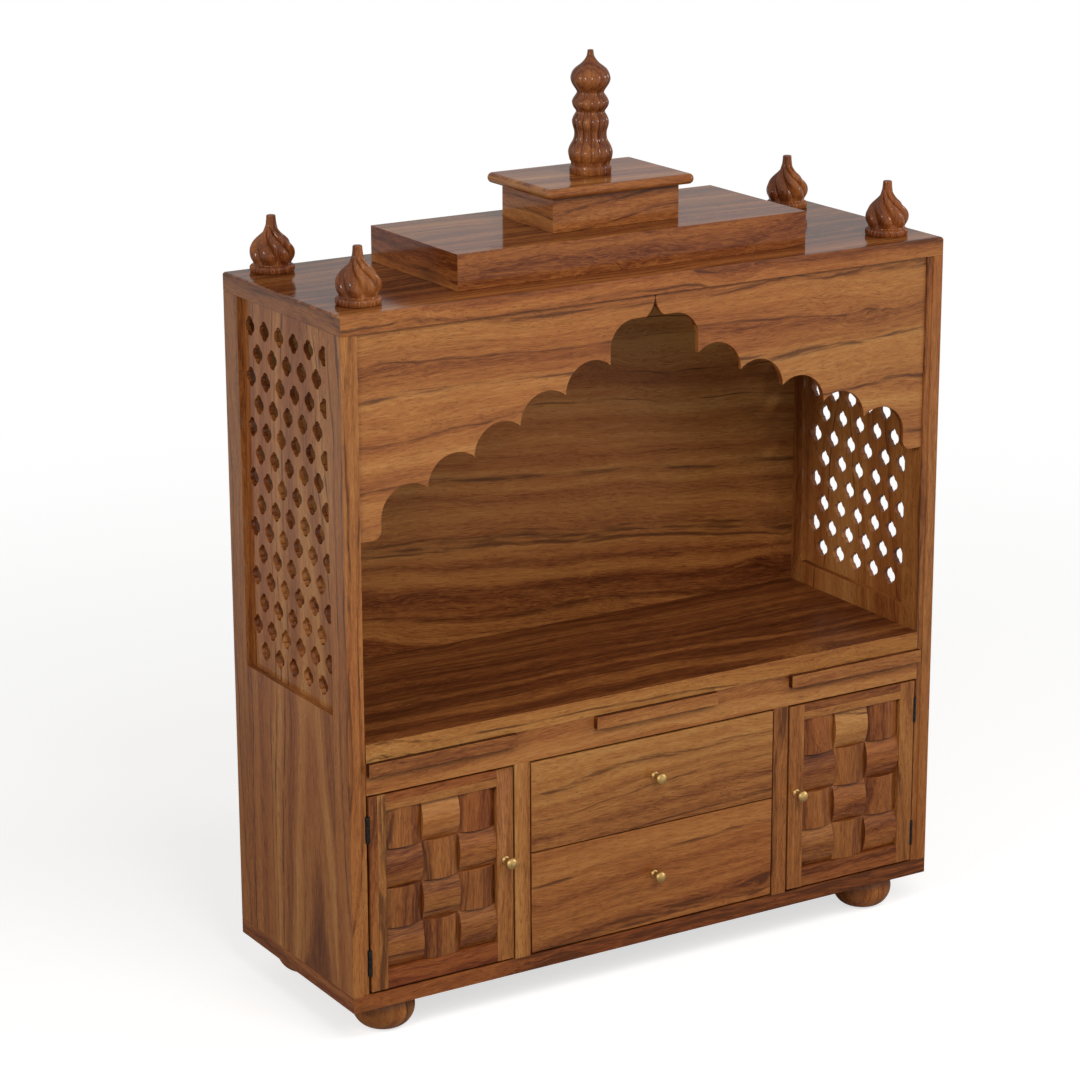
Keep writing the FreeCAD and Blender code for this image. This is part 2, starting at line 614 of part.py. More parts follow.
def build():
    """Make every piece, in the order in which the cabinet goes together."""
    inner_wide = "2 * inner"
    feet = []
    for x in ("left + foot_inset_side", "-left - foot_inset_side"):
        for y in ("front + foot_inset_front", "back - foot_inset_front"):
            feet.append(make_foot(x, y))
    label(group(*feet), "bun_feet")
    label(block("left", "front", "foot_height", "width", "depth", "bottom_thick"), "bottom_board")
    label(make_top_board(), "top_board")
    label(block("-inner", "back - back_thick", "floor", inner_wide, "back_thick", "underside - floor"),
          "back_panel")
    pair("front_post", make_front_post())
    pair("back_post", block("left", "back - back_post_depth", "floor", "post_width", "back_post_depth",
                            "underside - floor"))
    pair("side_panel", block("left", "front + front_post_depth", "floor", "post_width", "jali_length",
                             "side_panel_height"))
    pair("jali", make_jali())
    label(make_arch(), "arch_panel")
    label(block("-inner", "front", "shelf_low", inner_wide, "inside_depth", "shelf_thick"), "shelf")
    label(make_rail(), "front_rail")
    label(block("-inner", "front + rail_thick", "deck_top - deck_thick", inner_wide,
                "inside_depth - rail_thick", "deck_thick"), "tray_deck")
    label(make_guides(), "tray_guides")
    pair("divider", make_divider())
    pair("runners", make_runners())
    for name, (middle, wide) in TRAYS.items():
        label(make_tray(middle, wide), name)

    pair("door_frame", make_door_frame())
    pair("door_weave", make_weave())
    door_knob = make_knob("-door_out + door_width - knob_inset", "foot_height + knob_door_height")
    pair("door_knob", door_knob)
    levels = ("hinge_lower_height", "hinge_upper_height")
    fixed = [make_leaf(side, level, False) for side in ("left", "right") for level in levels]
    label(group(*fixed), "hinge_leaves")
    for side in ("left", "right"):
        label(group(*[make_leaf(side, level, True) for level in levels]), side + "_door_leaves")

    top = "rail_low - front_rebate"
    label(make_drawer_front("upper_drawer_low", top + " - upper_drawer_low"), "upper_drawer_front")
    label(make_drawer_front("lower_drawer_low", "split - drawer_gap / 2 - lower_drawer_low"),
          "lower_drawer_front")
    label(make_drawer_box("upper_box_low", top + " - drawer_box_drop - upper_box_low"),
          "upper_drawer_box")
    label(make_drawer_box("lower_box_low", "split - runner_height / 2 - drawer_box_drop - lower_box_low"),
          "lower_drawer_box")
    label(make_knob("0", "foot_height + knob_upper_height"), "upper_drawer_knob")
    label(make_knob("0", "foot_height + knob_lower_height"), "lower_drawer_knob")

    label(block("-lower_tier_half", "tier_middle - lower_tier_depth / 2", "roof", "2 * lower_tier_half",
                "lower_tier_depth", "lower_tier_height"), "lower_tier")
    label(block("-upper_tier_half", "tier_middle - upper_tier_depth / 2", "lower_tier_top",
                "2 * upper_tier_half", "upper_tier_depth", "upper_tier_height"), "upper_tier")
    label(make_cap(), "tier_cap")
    crown = make_finial(CENTRE_TURNING, value("centre_finial_height"), value("centre_finial_radius"),
                        12, 0)
    place(crown, 0, "tier_middle", "cap_top")
    label(crown, "centre_finial")
    corners = []
    for x in ("left + finial_inset_side", "-left - finial_inset_side"):
        for y in ("front + finial_inset_front", "back - finial_inset_back"):
            finial = make_finial(CORNER_TURNING, value("corner_finial_height"),
                                 value("corner_finial_radius"), 7, value("finial_swirl"))
            place(finial, x, y, "roof")
            corners.append(finial)
    label(group(*corners), "corner_finials")


def write_pieces():
    """Check every object, then write each named piece to its own file."""
    doc.recompute()
    for thing in doc.Objects:
        if "Invalid" in thing.State or "Error" in thing.State:
            raise RuntimeError("failed object: %s %s" % (thing.Label, thing.State))
    os.makedirs("parts", exist_ok=True)
    for piece in PIECES:
        shape = piece.Shape
        if shape.isNull() or not shape.isValid() or not shape.Solids:
            raise RuntimeError("bad shape: " + piece.Label)
        shape.exportStep(os.path.join("parts", piece.Label + ".step"))
        print("%-20s solids %d volume %.0f" % (piece.Label, len(shape.Solids), shape.Volume))


build()
write_pieces()
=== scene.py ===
# %% [markdown]
# # A home temple cabinet in sheesham
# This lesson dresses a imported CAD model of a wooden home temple: a base with two doors, two
# drawers and three pull-out trays, an altar niche behind a cusped arch, pierced side panels, and
# a stepped top with turned finials. The CAD model is the frame: it says where each part is and
# what moves. Here every part gets its eased edges, its turned and carved forms, and its wood.

# %% Load the frame
import math
import random

import bmesh
import bpy
from mathutils import Matrix, Vector


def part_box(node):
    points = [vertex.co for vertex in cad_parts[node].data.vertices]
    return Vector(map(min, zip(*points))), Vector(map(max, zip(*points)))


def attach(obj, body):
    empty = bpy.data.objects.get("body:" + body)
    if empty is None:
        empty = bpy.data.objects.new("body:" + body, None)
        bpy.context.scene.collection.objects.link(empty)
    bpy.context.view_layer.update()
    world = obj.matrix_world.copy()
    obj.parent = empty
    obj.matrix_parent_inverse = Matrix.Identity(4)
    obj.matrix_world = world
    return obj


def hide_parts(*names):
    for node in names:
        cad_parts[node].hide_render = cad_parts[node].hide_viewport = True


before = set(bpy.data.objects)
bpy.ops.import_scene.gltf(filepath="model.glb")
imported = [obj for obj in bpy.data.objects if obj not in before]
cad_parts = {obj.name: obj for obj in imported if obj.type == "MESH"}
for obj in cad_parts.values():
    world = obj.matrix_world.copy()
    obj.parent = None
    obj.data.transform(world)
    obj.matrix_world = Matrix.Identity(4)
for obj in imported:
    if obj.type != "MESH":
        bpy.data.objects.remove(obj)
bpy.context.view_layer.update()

MM = 0.001

# %% [markdown]
# ## Camera
# The photograph was taken from the left and a little above, with a long lens. Its place was worked
# out from the cabinet's straight edges, so it is written here as a place, two angles and a small
# roll. A camera could also be aimed with a constraint, but angles keep the framing exact.

# %% Camera
def look_from(place, turn, fall, roll):
    """The matrix of a camera at a place, turned right and down by angles in degrees, and rolled."""
    turn, fall, roll = (math.radians(angle) for angle in (turn, fall, roll))
    right = Vector((math.cos(turn), -math.sin(turn), 0))
    ahead = Vector((math.sin(turn) * math.cos(fall), math.cos(turn) * math.cos(fall),
                    -math.sin(fall)))
    up = right.cross(ahead)
    across = math.cos(roll) * right + math.sin(roll) * up
    upward = -math.sin(roll) * right + math.cos(roll) * up
    matrix = Matrix((across, upward, -ahead)).transposed().to_4x4()
    matrix.translation = Vector(place)
    return matrix


SENSOR_MM, LENS_MM = 36.0, 112.79
CAMERA_PLACE = (-2.3227, -3.65995, 1.8500)
CAMERA_TURN, CAMERA_FALL, CAMERA_ROLL = 31.4234, 16.4388, -0.2122

scene = bpy.context.scene
camera = bpy.data.objects.new("camera", bpy.data.cameras.new("camera"))
scene.collection.objects.link(camera)
scene.camera = camera
camera.data.sensor_width = SENSOR_MM
camera.data.lens = LENS_MM
camera.matrix_world = look_from(CAMERA_PLACE, CAMERA_TURN, CAMERA_FALL, CAMERA_ROLL)
print("camera:", tuple(round(x, 3) for x in camera.location), "lens", camera.data.lens)

# %% [markdown]
# ## Light, floor and white surroundings
# The real piece stood in a white studio with a small soft lamp to the left and one to the right,
# which leave two glints on every turned part, and a broad light in front and above. The world
# gives an even, plain light to what is matt, and shows as white to the camera and in the lacquer,
# through the Light Path node. The floor is a pale plane that keeps the soft shadow under the feet
# and passes into plain white away from them; the camera sees it lifted nearly to white, and the
# lacquer sees it as it is lit.

# %% Helpers that add nodes
def linear(hex_colour):
    """An sRGB hex colour as the linear RGBA that shaders work in."""
    parts = [int(hex_colour[i:i + 2], 16) / 255 for i in (1, 3, 5)]
    return [c / 12.92 if c <= 0.04045 else ((c + 0.055) / 1.055) ** 2.4 for c in parts] + [1.0]


def node(tree, kind, settings=None, **inputs):
    """Add a node; a setting is a property, an input is a value or another node's output."""
    made = tree.nodes.new(kind)
    for key, value in (settings or {}).items():
        setattr(made, key, value)
    for key, value in inputs.items():
        socket = made.inputs[int(key[1:]) if key[1:].isdigit() else key.replace("_", " ")]
        if isinstance(value, bpy.types.NodeSocket):
            tree.links.new(value, socket)
        else:
            socket.default_value = value
    return made


def maths(tree, operation, first, second=0.0):
    """One step of arithmetic."""
    return node(tree, "ShaderNodeMath", {"operation": operation}, _0=first, _1=second).outputs[0]


def ranged(tree, value, source, target, smooth=False):
    """A value moved from one range to another, evenly or with soft ends."""
    kind = "SMOOTHSTEP" if smooth else "LINEAR"
    return node(tree, "ShaderNodeMapRange", {"interpolation_type": kind}, Value=value,
                From_Min=source[0], From_Max=source[1], To_Min=target[0],
                To_Max=target[1]).outputs[0]


def new_material(name):
    """An empty node material, with its output node."""
    material = bpy.data.materials.new(name)
    material.use_nodes = True
    material.node_tree.nodes.clear()
    return material, material.node_tree, material.node_tree.nodes.new("ShaderNodeOutputMaterial")


print("sheesham brown in linear light:", [round(x, 3) for x in linear("#8a5a34")])

# %% World, floor and lamps
def seen_directly(tree):
    """1 for rays from the camera, in a reflection or through glass, and 0 for matt light."""
    path = node(tree, "ShaderNodeLightPath")
    shown = path.outputs["Is Camera Ray"]
    for kind in ("Is Glossy Ray", "Is Transmission Ray"):
        shown = maths(tree, "MAXIMUM", shown, path.outputs[kind])
    return shown


AMBIENT = 0.25                   # strength of the white surroundings on matt surfaces
FLOOR_LIFT = 0.66                # how much brighter the camera sees the floor
WHITE_FROM, WHITE_TO = 0.5, 3.0  # metres from the middle where the floor turns plain white
FLOOR_REACH = 14.0               # half the floor's width in metres
FLOOR_DROP = 0.0002              # metres below the feet, so that no faces lie in one plane
NICHE = Vector((0, 0, 0.6))      # what the lamps are aimed at

world = bpy.data.worlds.new("white studio")
scene.world = world
world.use_nodes = True
tree = world.node_tree
tree.nodes.clear()
strength = ranged(tree, seen_directly(tree), (0.0, 1.0), (AMBIENT, 1.0))
sky = node(tree, "ShaderNodeBackground", Color=linear("#ffffff"), Strength=strength)
node(tree, "ShaderNodeOutputWorld", Surface=sky.outputs[0])

floor_paint, tree, out = new_material("white studio floor")
matt = node(tree, "ShaderNodeBsdfDiffuse", Color=linear("#bfbdba"))
raised = maths(tree, "MULTIPLY", node(tree, "ShaderNodeLightPath").outputs["Is Camera Ray"],
               FLOOR_LIFT)
lift = node(tree, "ShaderNodeEmission", Color=linear("#ffffff"), Strength=raised)
near = node(tree, "ShaderNodeAddShader", _0=matt.outputs[0], _1=lift.outputs[0])
white = node(tree, "ShaderNodeEmission", Color=linear("#ffffff"), Strength=1.0)
away = node(tree, "ShaderNodeVectorMath", {"operation": "LENGTH"},
            _0=node(tree, "ShaderNodeTexCoord").outputs["Object"])
fade = ranged(tree, away.outputs["Value"], (WHITE_FROM, WHITE_TO), (0.0, 1.0), smooth=True)
clean = node(tree, "ShaderNodeMixShader", _0=fade, _1=near.outputs[0], _2=white.outputs[0])
shown = node(tree, "ShaderNodeMixShader", _0=seen_directly(tree), _1=matt.outputs[0],
             _2=clean.outputs[0])
tree.links.new(shown.outputs[0], out.inputs["Surface"])

floor_mesh = bpy.data.meshes.new("floor")
floor_mesh.from_pydata([(x * FLOOR_REACH, y * FLOOR_REACH, 0)
                        for x, y in ((-1, -1), (1, -1), (1, 1), (-1, 1))], [], [(0, 1, 2, 3)])
floor = bpy.data.objects.new("floor", floor_mesh)
floor.location.z = -FLOOR_DROP
floor_mesh.materials.append(floor_paint)
scene.collection.objects.link(floor)


def lamp(name, turn, rise, distance, side, watts, glints=True):
    """A square soft lamp at a bearing and a height in degrees, aimed at the niche."""
    data = bpy.data.lights.new(name, "AREA")
    data.size = side
    data.energy = watts
    made = bpy.data.objects.new(name, data)
    turn, rise = math.radians(turn), math.radians(rise)
    away = Vector((math.sin(turn) * math.cos(rise), -math.cos(turn) * math.cos(rise),
                   math.sin(rise)))
    made.location = NICHE + away * distance
    made.rotation_mode = "QUATERNION"
    made.rotation_quaternion = away.to_track_quat("Z", "Y")
    made.visible_glossy = glints
    scene.collection.objects.link(made)
    return made


lamps = [lamp("left lamp", -65, 22, 3.6, 0.8, 43), lamp("right lamp", 60, 22, 3.6, 0.8, 36),
         lamp("front light", -6, 38, 2.9, 1.8, 47, glints=False)]
scene.view_settings.view_transform = "Standard"
print("lamps:", [(each.name, each.data.energy) for each in lamps])

# %% [markdown]
# ## Sheesham wood
# Sheesham is Indian rosewood: honey-brown heartwood with long bands of red-brown and near-black
# veins that wander along the board, fine fibre, and short open pores. A log is built of rings round
# its pith, so the pattern here is made in the log itself: the distance from the pith, bent by slow
# noise, runs through bands of colour. Each board then stores where in the log it was sawn, as an
# attribute called "log", so the figure goes through the board and no two boards repeat. An image
# texture would be easier, but it would stretch on the turned parts and repeat on the wide ones. The
# back and the shelf of the niche are lacquered once, so they are duller than the rest.

# %% Sheesham under clear lacquer
BAND_MM = 32       # usual width of a colour band across the grain
ZONE_MM = 110      # usual width of a lighter or darker part of the log
VEIN_MM = 80       # usual distance between dark veins
STREAK_MM = 5.0    # width of the darker and lighter streaks within a band
FIBRE_MM = 1.3     # width of the fibre, drawn coarser than the real 0.3 mm so that it shows
PORE_MM = 0.8      # width of an open pore, drawn coarser too
HEARTWOOD = [(0.16, "#3c1d0e"), (0.32, "#653519"), (0.47, "#8b552a"), (0.62, "#a16a36"),
             (0.82, "#b6854b")]
VEIN, PORE, WARM = "#44200f", "#3a1e10", "#efc6bd"
TONE_BASE = -0.37  # the tone that the shares of the four patterns below are added to
BAND_SHARE, ZONE_SHARE, STREAK_SHARE, FIBRE_SHARE = 0.58, 0.42, 0.28, 0.48
VEIN_CORE, VEIN_EDGE = 0.004, 0.022  # how far from its middle the noise is full vein, and none


def per_metre(along_mm, across_mm):
    """Noise scales along and across the grain from feature sizes in millimetres."""
    return (1000 / along_mm, 1000 / across_mm, 1000 / across_mm)


def vectors(tree, operation, first, second):
    """One step of arithmetic on vectors."""
    return node(tree, "ShaderNodeVectorMath", {"operation": operation}, _0=first,
                _1=second).outputs[0]


def noise(tree, vector, scales, **more):
    """Noise whose features are as long and as wide as the scales say."""
    return node(tree, "ShaderNodeTexNoise", Scale=1.0,
                Vector=vectors(tree, "MULTIPLY", vector, scales), **more)


def rings_of(tree, pith, width_mm, **more):
    """Noise that changes only with the distance from the pith, as growth rings do."""
    return node(tree, "ShaderNodeTexNoise", {"noise_dimensions": "1D"}, Scale=1.0,
                W=maths(tree, "MULTIPLY", pith, 1000 / width_mm), **more)


def bent(tree, vector, scales, amount_mm, more=1.0):
    """Coordinates pushed sideways by slow noise, as growth bends the rings, and more at knots."""
    wave = noise(tree, vector, scales, Detail=1.5, Roughness=0.5).outputs["Color"]
    middle = vectors(tree, "SUBTRACT", wave, (0.5, 0.5, 0.5))
    push = vectors(tree, "MULTIPLY", middle, (0, amount_mm * MM * 2, amount_mm * MM * 2))
    push = node(tree, "ShaderNodeVectorMath", {"operation": "SCALE"}, _0=push, Scale=more)
    return vectors(tree, "ADD", vector, push.outputs[0])


def sum_of(tree, first, second, weight):
    """first + second * weight."""
    return node(tree, "ShaderNodeMath", {"operation": "MULTIPLY_ADD"}, _0=second, _1=weight,
                _2=first).outputs[0]


def painted(tree, amount, under, colour, blend="MIX"):
    """A colour laid over another by an amount."""
    return node(tree, "ShaderNodeMix", {"data_type": "RGBA", "blend_type": blend}, _0=amount,
                _6=under, _7=linear(colour)).outputs[2]


def ramp(tree, factor, stops):
    """A colour ramp with hex colours at places from 0 to 1."""
    made = node(tree, "ShaderNodeValToRGB", Fac=factor)
    elements = made.color_ramp.elements
    while len(elements) < len(stops):
        elements.new(0.5)
    for element, (place, colour) in zip(elements, stops):
        element.position = place
        element.color = linear(colour)
    return made.outputs["Color"]


def sheesham(name, stops, coat, coat_roughness):
    """Heartwood in its bands, veins, fibre and pores, under a clear lacquer."""
    material, tree, out = new_material(name)
    log = node(tree, "ShaderNodeAttribute", {"attribute_name": "log"}).outputs["Vector"]
    cast_and_painted_light = node(tree, "ShaderNodeAttribute", {"attribute_name": "cast_and_painted_light"}).outputs["Vector"]
    cast_and_painted_light = node(tree, "ShaderNodeSeparateXYZ", Vector=cast_and_painted_light)

    slow = bent(tree, log, per_metre(560, 170), 30)
    knot = noise(tree, log, per_metre(240, 110), Detail=1.0)
    swirl = ranged(tree, knot.outputs["Fac"], (0.56, 0.72), (1.0, 4.0))
    grown = bent(tree, slow, per_metre(150, 55), 7, swirl)
    grown = bent(tree, grown, per_metre(32, 10), 1.2, swirl)
    section = vectors(tree, "MULTIPLY", grown, (0, 1, 1))
    pith = node(tree, "ShaderNodeVectorMath", {"operation": "LENGTH"}, _0=section).outputs["Value"]
    along = node(tree, "ShaderNodeSeparateXYZ", Vector=grown).outputs["X"]
    pith = sum_of(tree, pith, along, cast_and_painted_light.outputs["Z"])

    bands = rings_of(tree, pith, BAND_MM, Detail=2.5, Roughness=0.55)
    zones = rings_of(tree, pith, ZONE_MM, Detail=1.0)
    fibre = noise(tree, grown, per_metre(24, FIBRE_MM), Detail=2.0, Roughness=0.6)
    streak = noise(tree, grown, per_metre(95, STREAK_MM), Detail=2.0)
    tone = TONE_BASE
    for pattern, share in ((bands, BAND_SHARE), (zones, ZONE_SHARE), (streak, STREAK_SHARE),
                           (fibre, FIBRE_SHARE)):
        tone = sum_of(tree, tone, pattern.outputs["Fac"], share)
    tone = sum_of(tree, tone, cast_and_painted_light.outputs["X"], 1.0)
    wood = ramp(tree, tone, stops)

    drift = noise(tree, log, per_metre(900, 260), Detail=1.0)
    warm = ranged(tree, drift.outputs["Fac"], (0.42, 0.68), (0.0, 0.35))
    warm = sum_of(tree, warm, cast_and_painted_light.outputs["Y"], 1.0)
    wood = painted(tree, warm, wood, WARM, "MULTIPLY")

    vein = rings_of(tree, pith, VEIN_MM, Detail=2.0, Roughness=0.55)
    away = maths(tree, "ABSOLUTE", maths(tree, "SUBTRACT", vein.outputs["Fac"], 0.5))
    near = ranged(tree, away, (VEIN_CORE, VEIN_EDGE), (1.0, 0.0), smooth=True)
    here = ranged(tree, streak.outputs["Fac"], (0.38, 0.62), (0.1, 0.8), smooth=True)
    wood = painted(tree, maths(tree, "MULTIPLY", near, here), wood, VEIN)

    pores = noise(tree, grown, per_metre(13, PORE_MM), Detail=1.0)
    open_pore = ranged(tree, pores.outputs["Fac"], (0.60, 0.70), (0.0, 0.5))
    wood = painted(tree, open_pore, wood, PORE)

    grain_bump = node(tree, "ShaderNodeBump", Strength=0.12, Distance=0.0004,
                      Height=fibre.outputs["Fac"])
    sheen = ranged(tree, streak.outputs["Fac"], (0.0, 1.0), (0.42, 0.58))
    skin = node(tree, "ShaderNodeBsdfPrincipled", Base_Color=wood, Roughness=sheen, IOR=1.48,
                Normal=grain_bump.outputs[0], Coat_Weight=coat, Coat_Roughness=coat_roughness,
                Coat_IOR=1.5)
    skin.inputs["Specular IOR Level"].default_value = 0.0
    tree.links.new(skin.outputs[0], out.inputs["Surface"])
    return material


sheesham_wood = sheesham("sheesham under semi-gloss lacquer", HEARTWOOD, 0.42, 0.12)
satin_wood = sheesham("sheesham under satin lacquer", HEARTWOOD, 0.26, 0.30)
print("wood nodes:", len(sheesham_wood.node_tree.nodes))

# %% [markdown]
# ## Brass and black steel
# The knobs are turned brass with a satin antique finish and the fine rings that a lathe leaves. The
# butt hinges are steel with a black, slightly uneven finish. The noise of the brass is packed close
# along the knob's axis, and that of the steel is the same in all directions.

# %% Brass and black steel
def metal(name, scales, detail, tints, roughness, metallic):
    """A satin metal whose tint and roughness follow one noise."""
    material, tree, out = new_material(name)
    where = node(tree, "ShaderNodeTexCoord").outputs["Object"]
    cloud = noise(tree, where, scales, Detail=detail).outputs["Fac"]
    skin = node(tree, "ShaderNodeBsdfPrincipled", Base_Color=ramp(tree, cloud, tints),
                Metallic=metallic, Roughness=ranged(tree, cloud, (0.0, 1.0), roughness))
    tree.links.new(skin.outputs[0], out.inputs["Surface"])
    return material


brass = metal("satin turned brass", (60, 1400, 60), 2.0,
              [(0.3, "#a68650"), (0.6, "#c3a268"), (0.8, "#d8b985")], (0.38, 0.52), 1.0)
black_steel = metal("satin blackened steel", (260, 260, 260), 3.0,
                    [(0.3, "#0d0c0b"), (0.7, "#24211f")], (0.38, 0.55), 0.6)
print("metals:", brass.name, "and", black_steel.name)

# %% [markdown]
# ## Boards
# A real board is never sharp: its edges are eased by a pass of sandpaper, and that thin line
# catches the light. A board is made as a box in a bmesh and its edges are bevelled there, which is
# exact and quick. Where the CAD part has rebates or seats, the board is sawn from a copy of it
# instead. Both then get their place in the log: the pith lies off to one side of the broad face,
# and the grain may run at a small slope to the board's edge. A maker also picks boards by colour,
# so a second attribute says how light and how red a board is beside the others, and how much its
# log tapered. The same attribute also carries painted light and shade: darker edges and hole
# walls, a lighter shelf edge, a lighter block in each weave panel, and a back board that lightens
# towards its top.

# %% Boards and their place in the log
AXES, SIDES = "xyz", ("left", "right")
MERGE = 0.02 * MM            # corners of a CAD mesh that are nearer than this are one
STRAY = 2.5                  # degrees by which the grain may run off a board's edge
LEAN_FROM, LEAN_TO = 18, 50  # bearing of the pith from the board's broad face, in degrees
LOG_METRES = 40              # length of the log that the boards are taken from
PICKED, REDDER = 0.03, 0.1   # how far a board's tone and redness may lie from its cast
TURNED_FINER = 2.2           # how much finer the figure of a branch is than that of a log
# A word in a board's key, how much lighter it is, and how much redder. The first found counts.
CASTS_AND_PAINTED_LIGHT = (("lower_tier", -0.06, 0.25), ("upper_tier", -0.02, 0.05), ("cap", -0.03, 0.15),
         ("foot", 0.03, 0.2), ("corner finial", -0.15, 0.3), ("finial", -0.14, 0.20),
         ("bottom_board", -0.12, 0.3), ("top board", -0.13, 0.1), ("upper_drawer", 0.07, -0.15),
         # "weave 1 3" lightens the top middle block of each weave panel: a painted reflection of
         # the front light in its lacquer
         ("lower_drawer", 0.0, 0.1), ("weave 1 3", 0.08, 0.0), ("weave", -0.12, 0.1),
         ("outer strip", -0.05, 0.15), ("dark strip", -0.08, 0.2), ("light strip", 0.06, -0.1),
         ("bottom rail", -0.12, 0.35), ("door_frame", 0.02, 0.0), ("shelf", -0.13, 0.0),
         ("back_panel", 0.10, 0.1), ("low back", -0.08, 0.1), ("side_panel", 0.06, 0.15),
         ("rail", 0.0, 0.15), ("tray", 0.02, 0.15), ("arch", 0.07, 0.0), ("back_post", 0.01, 0.1),
         ("post", 0.07, 0.0))


def log_frame(rng, sizes, along, slope, pith=None):
    """A matrix from a board's place to its place in the log, with the grain on the first axis."""
    wide, thin = sorted((i for i in range(3) if i != along), key=lambda i: -sizes[i])
    turn = math.radians(slope if slope is not None else rng.uniform(-STRAY, STRAY))
    rows = [Vector((0, 0, 0)) for _ in range(3)]
    rows[0][along] = math.cos(turn)
    rows[0][wide] = math.sin(turn)
    rows[1][along] = -math.sin(turn)
    rows[1][wide] = math.cos(turn)
    rows[2][thin] = 1
    matrix = Matrix(rows).to_4x4()
    lean = math.radians(rng.uniform(LEAN_FROM, LEAN_TO))
    far = pith or (0.16 + 0.75 * sizes[wide] + rng.uniform(0, 0.25))
    matrix.translation = Vector((rng.uniform(0, LOG_METRES),
                                 rng.choice((-1, 1)) * far * math.cos(lean),
                                 rng.choice((-1, 1)) * far * math.sin(lean)))
    return matrix


def saw(mesh, grain, key, slope=None, turned=False, pith=None, taper=0.0, lean=0.0, span=None):
    """Store where each corner of a mesh lay in its log; end faces are lipped with long grain.

    Turned work was cut near the pith of a branch, so its figure is finer. A log that tapers gives
    nested arches. Lean makes a board lighter towards its top, which on the back panel's upper
    board is painted light under the shade of the arch. A span makes two parts share one board.
    """
    rng = random.Random(key)
    corners = [vertex.co for vertex in mesh.vertices]
    low = Vector([min(c[i] for c in corners) for i in range(3)]) if span is None else span[0]
    high = Vector([max(c[i] for c in corners) for i in range(3)]) if span is None else span[1]
    sizes = high - low
    centre = Matrix.Translation(-(low + high) / 2)
    layer = mesh.attributes.new("log", "FLOAT_VECTOR", "CORNER")
    main = AXES.index(grain)
    other = max((i for i in range(3) if i != main), key=lambda i: sizes[i])
    fine = Matrix.Scale(TURNED_FINER if turned else 1, 4)
    frames = {main: fine @ log_frame(rng, sizes, main, slope, pith) @ centre,
              other: log_frame(rng, sizes, other, 0.0, pith) @ centre}
    for face in mesh.polygons:
        end = abs(face.normal[main]) > 0.9 and not turned
        frame_used = frames[other if end else main]
        for index in face.loop_indices:
            layer.data[index].vector = frame_used @ corners[mesh.loops[index].vertex_index]
    light, red = next(((a, b) for word, a, b in CASTS_AND_PAINTED_LIGHT if word in key), (0.0, 0.0))
    light, red = light + rng.uniform(-PICKED, PICKED), red + rng.uniform(-REDDER, REDDER)
    layer = mesh.attributes.new("cast_and_painted_light", "FLOAT_VECTOR", "CORNER")
    # lean makes the board lighter towards its top; on the back panel this is painted light under
    # the arch
    for index, loop in enumerate(mesh.loops):
        up = corners[loop.vertex_index].z - (low.z + high.z) / 2
        layer.data[index].vector = (light + lean * up, red, taper)
    return mesh


def shade(mesh, tone, chosen):
    """Lighten or darken picked faces: painted light and shade, and a sawn edge's own tone."""
    layer = mesh.attributes["cast_and_painted_light"]
    for face in mesh.polygons:
        if chosen(face):
            for index in face.loop_indices:
                light, red, taper = layer.data[index].vector
                layer.data[index].vector = (light + tone, red, taper)
    return mesh


def eased(bm, width_mm, sharp=50, segments=2):
    """Round every edge that is sharper than an angle by a small width."""
    edges = [edge for edge in bm.edges
             if edge.is_manifold and edge.calc_face_angle(0) > math.radians(sharp)]
    bmesh.ops.bevel(bm, geom=edges, offset=width_mm * MM, offset_type="OFFSET", segments=segments,
                    profile=0.6, affect="EDGES", clamp_overlap=True)


def to_mesh(bm, name):
    """Turn a bmesh into a mesh with outward faces, and free the bmesh."""
    bmesh.ops.recalc_face_normals(bm, faces=bm.faces)
    mesh = bpy.data.meshes.new(name)
    bm.to_mesh(mesh)
    bm.free()
    return mesh


def eased_box(low, high, width_mm, name):
    """A box between two corners in metres, with eased edges."""
    low, high = Vector(low), Vector(high)
    bm = bmesh.new()
    bmesh.ops.create_cube(bm, size=1.0, matrix=Matrix.Translation((low + high) / 2)
                          @ Matrix.Diagonal((high - low).to_4d()))
    eased(bm, width_mm)
    return to_mesh(bm, name)


def board(low, high, grain, key, ease=0.9, slope=None, pith=None, **more):
    """A board between two corners, with its place in the log."""
    return saw(eased_box(low, high, ease, key), grain, key, slope, pith=pith, **more)


def sawn_copy(name, grain, key, ease=0.8, low=None, high=None, slope=None):
    """A copy of a CAD node's solid, cut down to a box if one is given, with eased edges."""
    bm = bmesh.new()
    bm.from_mesh(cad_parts[name].data)
    bmesh.ops.remove_doubles(bm, verts=bm.verts, dist=MERGE)
    for corner, way in ((low, -1), (high, 1)):
        for axis in range(3):
            if corner is None or corner[axis] is None:
                continue
            normal = Vector([way if i == axis else 0 for i in range(3)])
            cut = bmesh.ops.bisect_plane(bm, geom=bm.verts[:] + bm.edges[:] + bm.faces[:],
                                         plane_co=normal * way * corner[axis], plane_no=normal,
                                         clear_outer=True)
            rim = [item for item in cut["geom_cut"] if isinstance(item, bmesh.types.BMEdge)]
            if rim:
                bmesh.ops.holes_fill(bm, edges=rim, sides=0)
    bmesh.ops.dissolve_limit(bm, angle_limit=math.radians(1), verts=bm.verts, edges=bm.edges)
    eased(bm, ease)
    return saw(to_mesh(bm, key), grain, key, slope)


